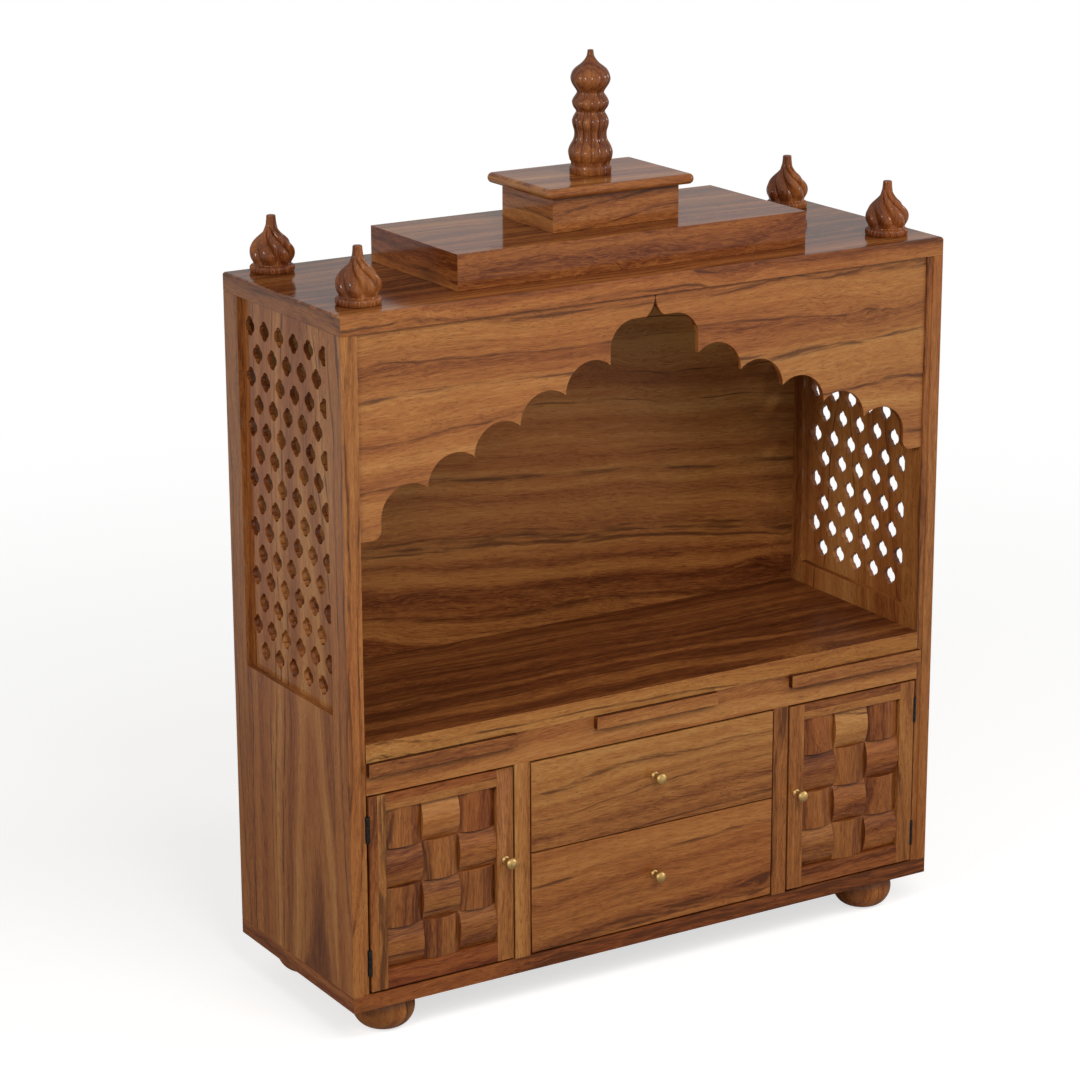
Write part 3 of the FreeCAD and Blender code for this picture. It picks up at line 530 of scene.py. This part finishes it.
def piece(name, meshes, body, *nodes, material=None, slot="sheesham", smooth=34, flat=True):
    """Join meshes into one piece that rides on a body and stands for CAD nodes."""
    bm = bmesh.new()
    for mesh in meshes:
        bm.from_mesh(mesh)
        bpy.data.meshes.remove(mesh)
    mesh = bpy.data.meshes.new(name)
    bm.to_mesh(mesh)
    bm.free()
    mesh.shade_smooth()
    mesh.set_sharp_from_angle(angle=math.radians(smooth))
    mesh.materials.append(material or sheesham_wood)
    made = bpy.data.objects.new(name, mesh)
    scene.collection.objects.link(made)
    if flat:
        made.modifiers.new("even normals", "WEIGHTED_NORMAL").keep_sharp = True
    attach(made, body)
    if nodes:
        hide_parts(*nodes)
    print(name, "faces", len(mesh.polygons))


def whole(name, grain, **more):
    """One plain board of the cabinet that fills the box of its CAD node."""
    low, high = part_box(name)
    piece(name + "_board", [board(low, high, grain, name, **more)], "cabinet", name)


def side_log(side):
    """What a side panel and the jali above it share, since both were sawn from one board."""
    return {"key": side + "_side_panel 3", "slope": 3.0, "pith": 0.05, "taper": 0.09,
            "span": (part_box(side + "_side_panel")[0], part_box(side + "_jali")[1])}


# %% The plain boards of the box
SEAM_RISE = 12 * MM  # the back's two boards meet just over the shelf's underside

mesh = board(*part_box("bottom_board"), "x", "bottom_board", slope=1.2)
piece("bottom_board_wood", [shade(mesh, 0.10, lambda face: abs(face.normal.x) > 0.6)], "cabinet",
      "bottom_board")
low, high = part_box("back_panel")
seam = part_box("shelf")[0].z + SEAM_RISE
# the upper back board is painted lighter towards its top: painted light where the arch shades it
piece("back_panel_boards", [board(low, (high.x, high.y, seam), "x", "low back", 0.3, slope=-3.0),
                            board((low.x, low.y, seam), high, "x", "back_panel 4", 0.3, slope=-5.5,
                                  pith=1.3, lean=0.9)],
      "cabinet", "back_panel", material=satin_wood)
mesh = board(*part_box("shelf"), "x", "shelf", slope=-2.0)
# the front edge is painted lighter than the top: painted light where the lamps reach it
piece("shelf_board", [shade(mesh, 0.22, lambda face: face.normal.y < -0.6)], "cabinet", "shelf",
      material=satin_wood)
for side in SIDES:
    low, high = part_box(side + "_side_panel")
    mesh = board(low, high, "z", ease=0.5, **side_log(side))
    piece(side + "_side_panel_board", [mesh], "cabinet", side + "_side_panel")
    whole(side + "_back_post", "z")
    mesh = sawn_copy(side + "_front_post", "z", side + " post")
    piece(side + "_front_post_board", [mesh], "cabinet", side + "_front_post")
piece("top_board_wood", [sawn_copy("top_board", "x", "top board", slope=1.0)], "cabinet",
      "top_board")

# %% [markdown]
# ## Pierced side panels
# A jali is a thin panel with rows of small quatrefoils sawn out of it, so that light and incense
# pass through. Its rows hold six and five holes in turn. A flat curve with holes is the natural
# tool: it fills itself between its outline and the holes, has a thickness, and rounds the rims.

# %% Fretwork from a flat curve
def fretwork(name, loops, thick, ease_mm, place):
    """A flat panel from loops of points (the first is its outline), set upright by a matrix."""
    curve = bpy.data.curves.new(name, "CURVE")
    curve.dimensions = "2D"
    curve.fill_mode = "BOTH"
    curve.extrude = thick / 2 - ease_mm * MM
    curve.bevel_depth = ease_mm * MM
    curve.offset = -ease_mm * MM
    curve.bevel_resolution = 1
    for loop in loops:
        spline = curve.splines.new("POLY")
        spline.points.add(len(loop) - 1)
        for point, (a, b) in zip(spline.points, loop):
            point.co = (a, b, 0, 1)
        spline.use_cyclic_u = True
    holder = bpy.data.objects.new(name, curve)
    scene.collection.objects.link(holder)
    bpy.context.view_layer.update()
    filled = holder.evaluated_get(bpy.context.evaluated_depsgraph_get())
    mesh = bpy.data.meshes.new_from_object(filled)
    bpy.data.objects.remove(holder)
    bpy.data.curves.remove(curve)
    bm = bmesh.new()
    bm.from_mesh(mesh)
    bpy.data.meshes.remove(mesh)
    bmesh.ops.remove_doubles(bm, verts=bm.verts, dist=MERGE / 10)
    bmesh.ops.transform(bm, matrix=place, verts=bm.verts)
    return to_mesh(bm, name)


def arc(centre, radius, start, end, steps):
    """Points along an arc between two angles in degrees."""
    angles = [math.radians(start + (end - start) * k / steps) for k in range(steps + 1)]
    return [(centre[0] + radius * math.cos(a), centre[1] + radius * math.sin(a)) for a in angles]


def quatrefoil(middle, size, cusp):
    """Four round lobes that meet in cusps."""
    lobe_out = (size ** 2 / 4 - 2 * cusp ** 2) / (size - 2 * cusp)
    radius = size / 2 - lobe_out
    spread = math.degrees(math.atan2(cusp, cusp - lobe_out))
    points = []
    for turn in (0, 90, 180, 270):
        lobe = arc(middle, lobe_out, turn, turn, steps=1)[0]
        points += arc(lobe, radius, turn - spread, turn + spread, steps=9)[:-1]
    return points


# %% The two jali panels
HOLE, CUSP = 25.4 * MM, 7.0 * MM
PITCH_ALONG, PITCH_UP = 39.7 * MM, 33.06 * MM
TOP_MARGIN = 36 * MM
LONG_ROW, SHORT_ROW = 6, 5


def jali_loops(length, height):
    """The outline, and six and five holes in turn from the top row down."""
    loops = [[(0, 0), (length, 0), (length, height), (0, height)]]
    level, row = height - TOP_MARGIN, 0
    while level >= HOLE:
        count = LONG_ROW if row % 2 == 0 else SHORT_ROW
        for index in range(count):
            along = length / 2 + (index - (count - 1) / 2) * PITCH_ALONG
            loops.append(quatrefoil((along, level), HOLE, CUSP))
        level -= PITCH_UP
        row += 1
    return loops


STAND_ALONG_Y = Matrix(((0, 0, 1, 0), (1, 0, 0, 0), (0, 1, 0, 0), (0, 0, 0, 1)))
for side in SIDES:
    low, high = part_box(side + "_jali")
    place = Matrix.Translation(((low.x + high.x) / 2, low.y, low.z)) @ STAND_ALONG_Y
    mesh = fretwork(side + "_jali_fret", jali_loops(high.y - low.y, high.z - low.z), high.x - low.x,
                    ease_mm=0.6, place=place)
    saw(mesh, "z", **side_log(side))
    # the broad faces a little lighter, the hole walls darker: painted shade inside the holes, and
    # sawn edges that take the stain darker
    shade(mesh, 0.04, lambda face: abs(face.normal.x) > 0.6)
    shade(mesh, -0.12, lambda face: abs(face.normal.x) < 0.6)
    piece(side + "_jali_fret", [mesh], "cabinet", side + "_jali")

# %% [markdown]
# ## The cusped arch
# The arch is one thin panel, sawn to a pointed crown between two shoulders, five stepped lobes on
# each side and a rounded foot at each end. Its outline is written once for the right half and
# mirrored. The same fretwork helper gives it its thickness and its softly rounded edge.

# %% The arch panel
# All in mm. Drops are measured from the underside of the top board, sides from the middle.
ARCH_DROP, CROWN_HALF, CROWN_DROP, SHOULDER = 263, 67, 29, 36
ARCH_LOBES, FIRST_SIDE, FIRST_DROP = 5, 93.5, 116
LOBE, LOBE_PITCH, LOBE_STEP = 40.5, 67, 30.5
SPIKE_HALF, SPIKE_HIGH, FOOT_ROUND = 13, 28, 12


def arch_half(half_width):
    """Points of the right half from the tip down to the foot, in mm below the underside."""
    curve = (SPIKE_HIGH ** 2 + SPIKE_HALF ** 2) / (2 * SPIKE_HALF)
    low = math.degrees(math.asin(SPIKE_HIGH / curve))
    points = arc((curve, -CROWN_DROP + SPIKE_HIGH), curve, 180, 180 + low, steps=10)
    points += arc((CROWN_HALF - SHOULDER, -CROWN_DROP - SHOULDER), SHOULDER, 90, 0, steps=14)
    for lobe in range(ARCH_LOBES):
        middle = (FIRST_SIDE + lobe * LOBE_PITCH, -FIRST_DROP - lobe * LOBE_STEP)
        inside = middle[0] - points[-1][0]
        start = math.degrees(math.acos(max(-1, min(1, -inside / LOBE))))
        points += arc(middle, LOBE, start, 0, steps=18)[1 if lobe else 0:]
    foot = points[-1][0]
    points.append((foot, -ARCH_DROP + FOOT_ROUND))
    points += arc((foot + FOOT_ROUND, -ARCH_DROP + FOOT_ROUND), FOOT_ROUND, 180, 270, steps=8)[1:]
    return points + [(half_width, -ARCH_DROP), (half_width, 0)]


low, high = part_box("arch_panel")
half = [(a * MM, b * MM) for a, b in arch_half(high.x / MM)]
# the tip lies on the middle line, so it isn't mirrored
outline = half + [(-a, b) for a, b in reversed(half) if a > 1e-6]
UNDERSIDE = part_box("top_board")[0].z
STAND_ALONG_X = Matrix(((1, 0, 0, 0), (0, 0, -1, 0), (0, 1, 0, 0), (0, 0, 0, 1)))
place = Matrix.Translation((0, (low.y + high.y) / 2, UNDERSIDE)) @ STAND_ALONG_X
mesh = fretwork("arch", [outline], high.y - low.y, ease_mm=0.8, place=place)
saw(mesh, "x", "arch 4", slope=1.5, pith=0.5, taper=0.03)
# the cut edges of the arch are darker: painted shade on its scallops, and sawn edges that take the
# stain darker
piece("arch_panel_fret", [shade(mesh, -0.15, lambda face: abs(face.normal.y) < 0.6)], "cabinet",
      "arch_panel")

# %% [markdown]
# ## Rail, trays and inner boards
# The rail under the shelf is notched for three shallow pull-out trays, whose front strips stand
# proud of it. Behind the doors and drawers there are plain boards that show only when something is
# open, so they are boxes or copies of the CAD solids, with eased edges.

# %% Rail, trays and inner boards
rail_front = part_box("front_rail")[0].y
piece("front_rail_board", [sawn_copy("front_rail", "x", "rail", ease=0.5, slope=0.8)], "cabinet",
      "front_rail")
for side in ("left", "centre", "right"):
    mesh = sawn_copy(side + "_tray", "x", side + " tray", ease=0.7)
    # the edges of the front strips, which stand proud of the rail, are painted dark: painted shade
    # and a painted dark reflection of the rail and the shelf edge
    shade(mesh, -0.34, lambda face: face.center.y < rail_front and abs(face.normal.y) < 0.6)
    piece(side + "_tray_board", [mesh], side + "_pull_tray", side + "_tray")
whole("tray_deck", "x", ease=0.5)
for name, grain in (("tray_guides", "y"), ("left_divider", "z"), ("right_divider", "z"),
                    ("left_runners", "y"), ("right_runners", "y")):
    piece(name + "_boards", [sawn_copy(name, grain, name, ease=0.6)], "cabinet", name)

# %% [markdown]
# ## Doors
# Each door is a frame of two upright stiles with two rails between them, each sawn from its own
# board, and the left stile and the top rail are glued up from a darker and a lighter strip. Inside
# it sits a basket-weave panel: twelve short blocks with rounded backs, laid in turn upright and
# across, so that light breaks on each one differently. Each block is an arc pushed along its grain.

# %% Door frames
STILE = 24 * MM
TOP_RAIL, BOTTOM_RAIL = 22 * MM, 26 * MM
for side in SIDES:
    name = side + "_door_frame"
    low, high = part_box(name)
    inside = (low.x + STILE, high.x - STILE)
    seam_x, seam_z = low.x + STILE / 2, high.z - TOP_RAIL / 2
    parts = [
        sawn_copy(name, "z", name + " outer strip", 0.4, high=(seam_x, None, None)),
        sawn_copy(name, "z", name + " light strip up", 0.4, low=(seam_x, None, None),
                  high=(inside[0], None, None)),
        sawn_copy(name, "z", name + " right stile", 0.6, low=(inside[1], None, None)),
    ]
    for word, ease, bottom, top in (("dark strip over", 0.4, seam_z, high.z),
                                    ("light strip", 0.4, high.z - TOP_RAIL, seam_z),
                                    ("bottom rail", 0.5, low.z, low.z + BOTTOM_RAIL)):
        parts.append(board((inside[0], low.y, bottom), (inside[1], high.y, top), "x",
                           name + " " + word, ease))
    piece(name + "_boards", parts, side + "_door", name)

# %% Basket-weave panels
RISE, SETBACK, BACKING = 6.5 * MM, 0.5 * MM, 8 * MM
SUNK = 1.5 * MM  # how far each block is let into the backing board
COLUMNS, ROWS = 3, 4


def weave_block(low, high, upright, back, key):
    """A block between two corners of the panel, with a rounded back over its shorter way."""
    span = (high[0] - low[0]) if upright else (high[1] - low[1])
    radius = (span ** 2 / 4 + RISE ** 2) / (2 * RISE)
    half_angle = math.degrees(math.asin(span / 2 / radius))
    profile = arc((0, -radius + RISE), radius, 90 + half_angle, 90 - half_angle, steps=20)
    profile += [(span / 2, -SUNK), (-span / 2, -SUNK)]
    length = (high[1] - low[1]) if upright else (high[0] - low[0])
    bm = bmesh.new()
    ring = [bm.verts.new((a, -b, -length / 2)) for a, b in profile]
    face = bm.faces.new(ring)
    made = bmesh.ops.extrude_face_region(bm, geom=[face])["geom"]
    far = [item for item in made if isinstance(item, bmesh.types.BMVert)]
    bmesh.ops.translate(bm, vec=(0, 0, length), verts=far)
    if not upright:
        bmesh.ops.rotate(bm, cent=(0, 0, 0), matrix=Matrix.Rotation(math.radians(90), 3, "Y"),
                         verts=bm.verts)
    middle = Vector(((low[0] + high[0]) / 2, back, (low[1] + high[1]) / 2))
    bmesh.ops.translate(bm, vec=middle, verts=bm.verts)
    eased(bm, 0.4, sharp=40, segments=1)
    return saw(to_mesh(bm, key), "z" if upright else "x", key, pith=0.14)


for side in SIDES:
    name = side + "_door_weave"
    low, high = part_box(name)
    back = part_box(side + "_door_frame")[0].y + SETBACK + RISE
    parts = [board((low.x, back, low.z), (high.x, back + BACKING, high.z), "z", name, 0.3)]
    wide, tall = (high.x - low.x) / COLUMNS, (high.z - low.z) / ROWS
    for column in range(COLUMNS):
        for row in range(ROWS):
            count = column if side == "left" else COLUMNS - 1 - column
            a = (low.x + column * wide, low.z + row * tall)
            parts.append(weave_block(a, (a[0] + wide, a[1] + tall), (count + row) % 2 == 1, back,
                                     "%s %d %d" % (name, column, row)))
    piece(name + "_blocks", parts, side + "_door", name)

# %% [markdown]
# ## Drawers
# The drawer fronts are plain boards with slightly softened edges. Each box behind is four boards,
# two sides, a back and a thin floor, held by the front.

# %% Drawer fronts and boxes
SIDE, FLOOR = 12 * MM, 6 * MM  # thickness of a drawer's boards
for body, key, slope, lean in (("upper_drawer", "upper_drawer 2", -2.0, 1.1),
                               ("lower_drawer", "lower_drawer 5", -3.0, 0.7)):
    low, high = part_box(body + "_front")
    front = board(low, high, "x", key, 1.0, slope, pith=0.12, taper=0.07, lean=lean)
    piece(body + "_front_board", [front], body, body + "_front")
    low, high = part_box(body + "_box")
    left, right, back = low.x + SIDE, high.x - SIDE, high.y - SIDE
    parts = [
        board(low, (left, high.y, high.z), "y", body + " side 1", 0.6),
        board((right, low.y, low.z), high, "y", body + " side 2", 0.6),
        board((left, back, low.z), (right, high.y, high.z), "x", body + " back", 0.6),
        board((left, low.y, low.z), (right, back, low.z + FLOOR), "x", body + " floor", 0.3),
    ]
    piece(body + "_box_boards", parts, body, body + "_box")

# %% [markdown]
# ## The stepped top
# Two steps rise on the top board. Each is a box of mitred boards, so its sides show long grain all
# round, which the end-face rule of `saw` gives. The cap plate over them has a half-round edge, made
# of rings that lean in above and below the middle.

# %% Steps and cap plate
whole("lower_tier", "x", ease=1.0, slope=-3.0)
whole("upper_tier", "x", ease=1.0, slope=3.5)


def lofted(rings, name):
    """A closed skin over rings that have the same number of points."""
    bm = bmesh.new()
    rows = [[bm.verts.new(point) for point in ring] for ring in rings]
    count = len(rows[0])
    for lower, upper in zip(rows, rows[1:]):
        for k in range(count):
            bm.faces.new((lower[k], lower[(k + 1) % count], upper[(k + 1) % count], upper[k]))
    bm.faces.new(rows[0])
    bm.faces.new(rows[-1])
    return to_mesh(bm, name)


CAP_CORNER, CAP_EDGE = 8 * MM, 6.5 * MM
HAIR = 0.01 * MM  # more on every side, so that the plate covers its CAD node
low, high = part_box("tier_cap")
left, right = low.x + CAP_CORNER, high.x - CAP_CORNER
front, back = low.y + CAP_CORNER, high.y - CAP_CORNER
rings = []
for lean in range(-90, 91, 15):
    inset = CAP_EDGE * (1 - math.cos(math.radians(lean)))
    level = (low.z + high.z) / 2 + (high.z - low.z) / 2 * math.sin(math.radians(lean))
    ring = []
    for quarter, centre in enumerate(((right, back), (left, back), (left, front), (right, front))):
        corner = arc(centre, CAP_CORNER - inset + HAIR, 90 * quarter, 90 * quarter + 90, steps=6)
        ring += [(a, b, level) for a, b in corner]
    rings.append(ring)
piece("tier_cap_plate", [saw(lofted(rings, "cap"), "x", "cap", slope=-6.0)], "cabinet", "tier_cap",
      smooth=40)

# %% [markdown]
# ## Turned feet and finials
# These come off a lathe, so each is a profile swept round an axis. The finials are carved
# afterwards: straight flutes run up the tall one, and lobes swirl round the small ones like a head
# of garlic. A screw modifier can only sweep, so the rings are built in code, where each one can be
# scalloped and turned a little more than the one below.

# %% Turning with scallops
def through(profile, steps):
    """A smooth curve through (height, radius) points, read at even steps between them."""
    points = [profile[0]] + list(profile) + [profile[-1]]
    out = []
    for i in range(1, len(points) - 2):
        a, b, c, d = (Vector(p) for p in points[i - 1:i + 3])
        for k in range(steps):
            t = k / steps
            out.append(0.5 * (2 * b + (c - a) * t + (2 * a - 5 * b + 4 * c - d) * t * t
                              + (3 * b - a - 3 * c + d) * t ** 3))
    out.append(Vector(points[-1]))
    return [(p[0], max(p[1], 0.0001)) for p in out]


def turned(name, place, profile, sides=64, steps=4, carve=None):
    """Sweep a profile in mm round an upright axis; carve gives a radius factor and a twist."""
    rings = []
    for height, radius in through(profile, steps):
        ring = []
        for k in range(sides):
            angle = 2 * math.pi * k / sides
            factor, twist = carve(height, radius, angle) if carve else (1, 0)
            ring.append((place[0] + radius * factor * MM * math.cos(angle + twist),
                         place[1] + radius * factor * MM * math.sin(angle + twist),
                         place[2] + height * MM))
        rings.append(ring)
    return lofted(rings, name)


# %% Bun feet
FOOT = [(0, 18), (0.6, 22), (3, 28), (8, 34), (16, 39), (24, 41), (31, 41), (38, 39.6),
        (44, 37.6), (48, 36)]
FOOT_IN_X, FOOT_IN_Y = 71 * MM, 52 * MM
low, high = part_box("bottom_board")
meshes = []
for x in (low.x + FOOT_IN_X, high.x - FOOT_IN_X):
    for y in (low.y + FOOT_IN_Y, high.y - FOOT_IN_Y):
        key = "foot %.2f %.2f" % (x, y)
        mesh = turned(key, (x, y, 0), FOOT)
        meshes.append(saw(mesh, "z", key, turned=True, pith=0.09))
piece("bun_feet_turned", meshes, "cabinet", "bun_feet", smooth=50, flat=False)

# %% Centre finial
CENTRE = [(0, 25), (0.8, 27.2), (10, 27.2), (11.5, 25.5), (13, 25.6), (16, 26.2), (20, 28.2),
          (27.6, 29.6), (33, 28.4), (38, 26.0), (43.5, 22.9), (50, 21.5), (56, 21.8), (62, 23.6),
          (66.5, 24.4), (70, 24.0), (74, 22.4), (80, 19.1), (83, 20.0), (87, 22.8), (92, 24.4),
          (96, 23.4), (100, 20.9), (105, 17.9), (109, 19.4), (115, 23.4), (120, 25.8), (124, 26.3),
          (129, 25.1), (134, 22.4), (138, 18.2), (142, 12.8), (146, 8.9), (151, 5.5), (156, 4.2),
          (159, 3.9), (160, 3.0)]
RIBS = 12
RIB_FROM, RIB_TO, WAIST = 12, 146, 50          # heights in mm
RIB_DEEP, RIB_SOFT, RIB_FAINT = 3.6, 1.6, 0.3  # depths in mm


def ribbed(height, radius, angle):
    """Straight round flutes, deepest at the waist and softer above, faint on base ring and tip."""
    swell = max(min((height - RIB_FROM) / 5, (RIB_TO - height) / 8, 1), 0)
    carved = max(RIB_DEEP - 0.05 * abs(height - WAIST), RIB_SOFT)
    depth = RIB_FAINT + swell * (carved - RIB_FAINT)
    ridge = abs(math.sin(angle * RIBS / 2))
    return 1 - depth / max(radius, 12) * (1 - ridge ** 0.7), 0.0


low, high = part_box("centre_finial")
middle = ((low.x + high.x) / 2, (low.y + high.y) / 2, low.z)
mesh = turned("centre finial", middle, CENTRE, sides=144, steps=3, carve=ribbed)
piece("centre_finial_turned", [saw(mesh, "z", "centre finial", turned=True, pith=0.035)], "cabinet",
      "centre_finial", smooth=60, flat=False)

# %% Corner finials
CORNER = [(0, 25), (0.6, 28.0), (4, 29.0), (8, 28.4), (10, 25.4), (11.5, 24.6), (14, 25.8),
          (19, 28.6), (25, 29.6), (31, 28.6), (36, 26.0), (40, 23.0), (44.5, 18.4), (48, 14.4),
          (52, 10.9), (57, 8.3), (62, 6.9), (68, 6.2), (72, 5.9), (73, 4.8)]
LOBES, SWIRL = 7, math.radians(105)
RING_TOP, SWIRL_RISE = 10.5, 52  # heights in mm
BEADS, BEAD_SHARE = 32, 0.07     # their number, and their depth over the radius
CORNER_IN_X, CORNER_IN_FRONT, CORNER_IN_BACK = 55 * MM, 54 * MM, 32 * MM


def swirled(height, radius, angle):
    """Round lobes, upright below and wound about the neck above, over a beaded base ring."""
    if height < RING_TOP:
        return 1 - BEAD_SHARE * abs(math.cos(angle * BEADS / 2)), 0.0
    share = min((height - RING_TOP) / SWIRL_RISE, 1)
    depth = (0.15 + 0.25 * share) * min(share * 9, (1 - share) * 5, 1)
    ridge = abs(math.sin(angle * LOBES / 2)) ** 0.9
    return 1 - depth * (1 - ridge), -SWIRL * share ** 2.3


low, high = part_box("top_board")
meshes = []
for x in (low.x + CORNER_IN_X, high.x - CORNER_IN_X):
    for y in (low.y + CORNER_IN_FRONT, high.y - CORNER_IN_BACK):
        key = "corner finial %.2f %.2f" % (x, y)
        mesh = turned(key, (x, y, high.z), CORNER, sides=168, steps=3, carve=swirled)
        meshes.append(saw(mesh, "z", key, turned=True, pith=0.03))
piece("corner_finials_turned", meshes, "cabinet", "corner_finials", smooth=60, flat=False)

# %% [markdown]
# ## Brass knobs and black hinges
# Each knob is turned from brass: a small rose against the wood, a slim neck and a domed head. The
# butt hinges show as narrow black bars in the gap beside each door; their leaves, with three
# countersunk screws each, show only when a door is open.

# %% Knobs
KNOB = [(0, 5.0), (0.3, 5.4), (1.3, 5.5), (2.2, 5.0), (3.2, 3.9), (4.8, 3.4), (9, 3.4), (11, 4.5),
        (13.2, 6.9), (14.8, 7.8), (16.4, 8.0), (18.4, 7.4), (20.2, 5.7), (21.4, 3.4), (22, 0.6)]
for name, body in (("left_door_knob", "left_door"), ("right_door_knob", "right_door"),
                   ("upper_drawer_knob", "upper_drawer"), ("lower_drawer_knob", "lower_drawer")):
    low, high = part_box(name)
    mesh = turned(name, (0, 0, 0), KNOB, sides=40, steps=3)
    mesh.transform(Matrix.Translation(((low.x + high.x) / 2, high.y, (low.z + high.z) / 2))
                   @ Matrix.Rotation(math.radians(90), 4, "X"))
    piece(name + "_turned", [mesh], body, name, material=brass, slot="brass", smooth=50, flat=False)

# %% Butt hinges
BARREL, LEAF, HINGE_LINE, HINGE_DEPTH = 2.8 * MM, 1.2 * MM, 431.5 * MM, -145.2 * MM
HINGE_HIGH, LEAF_WIDE, LEAF_OFF, PARTING = 35 * MM, 14 * MM, 0.5 * MM, 0.3 * MM
DOOR_EDGE, POST_FACE = 430 * MM, 433 * MM  # from the cabinet's middle
SCREW_IN, SCREW_LEVELS = 8 * MM, (6, 17.5, 29)
SCREW = [(0, 2.6), (0.25, 2.4), (0.3, 1.2), (0.12, 0.3)]
BOX_BOTTOM, HINGE_MIDDLES = 48, (64, 246)  # in mm, the second over the first


def steel_bar(*corners):
    """A thin steel plate with eased edges between any two opposite corners."""
    low, high = ([pick(pair) for pair in zip(*corners)] for pick in (min, max))
    return eased_box(low, high, 0.25, "plate")


def knuckle(x, bottom, top):
    """One barrel of a hinge, with softened ends."""
    tall = (top - bottom) / MM
    profile = [(0, 2.3), (0.3, 2.7), (0.7, 2.8), (tall - 0.7, 2.8), (tall - 0.3, 2.7), (tall, 2.3)]
    return turned("knuckle", (x, HINGE_DEPTH, bottom), profile, sides=28, steps=1)


def hinge_half(way, bottom, moving):
    """Half of one butt hinge on the left (way -1) or the right (way 1)."""
    third = HINGE_HIGH / 3
    inside = way * (DOOR_EDGE + LEAF if moving else POST_FACE)
    outside = inside - way * LEAF
    start = HINGE_DEPTH + BARREL + LEAF_OFF
    spans = [(0, third), (2 * third, 3 * third)]
    if moving:
        spans = [(third + PARTING, 2 * third - PARTING)]
    meshes = [steel_bar((inside, start, bottom),
                        (outside, start + LEAF_WIDE, bottom + HINGE_HIGH))]
    for a, b in spans:
        meshes.append(knuckle(way * HINGE_LINE, bottom + a, bottom + b))
        meshes.append(steel_bar((inside, HINGE_DEPTH + BARREL / 2, bottom + a),
                                (outside, start + MM, bottom + b)))
    face_at, turn = (inside, 90 * way) if moving else (outside, -90 * way)
    for level in SCREW_LEVELS:
        screw = turned("screw", (0, 0, 0), SCREW, sides=20, steps=1)
        place = Matrix.Translation((face_at, start + SCREW_IN, bottom + level * MM))
        screw.transform(place @ Matrix.Rotation(math.radians(turn), 4, "Y"))
        meshes.append(screw)
    return meshes


LEVELS = [BOX_BOTTOM * MM + middle * MM - HINGE_HIGH / 2 for middle in HINGE_MIDDLES]
fixed = [mesh for way in (-1, 1) for bottom in LEVELS for mesh in hinge_half(way, bottom, False)]
piece("hinge_leaves_steel", fixed, "cabinet", "hinge_leaves", material=black_steel,
      slot="black_metal", flat=False)
for side, way in (("left", -1), ("right", 1)):
    moving = [mesh for bottom in LEVELS for mesh in hinge_half(way, bottom, True)]
    piece(side + "_door_leaves_steel", moving, side + "_door", side + "_door_leaves",
          material=black_steel, slot="black_metal", flat=False)
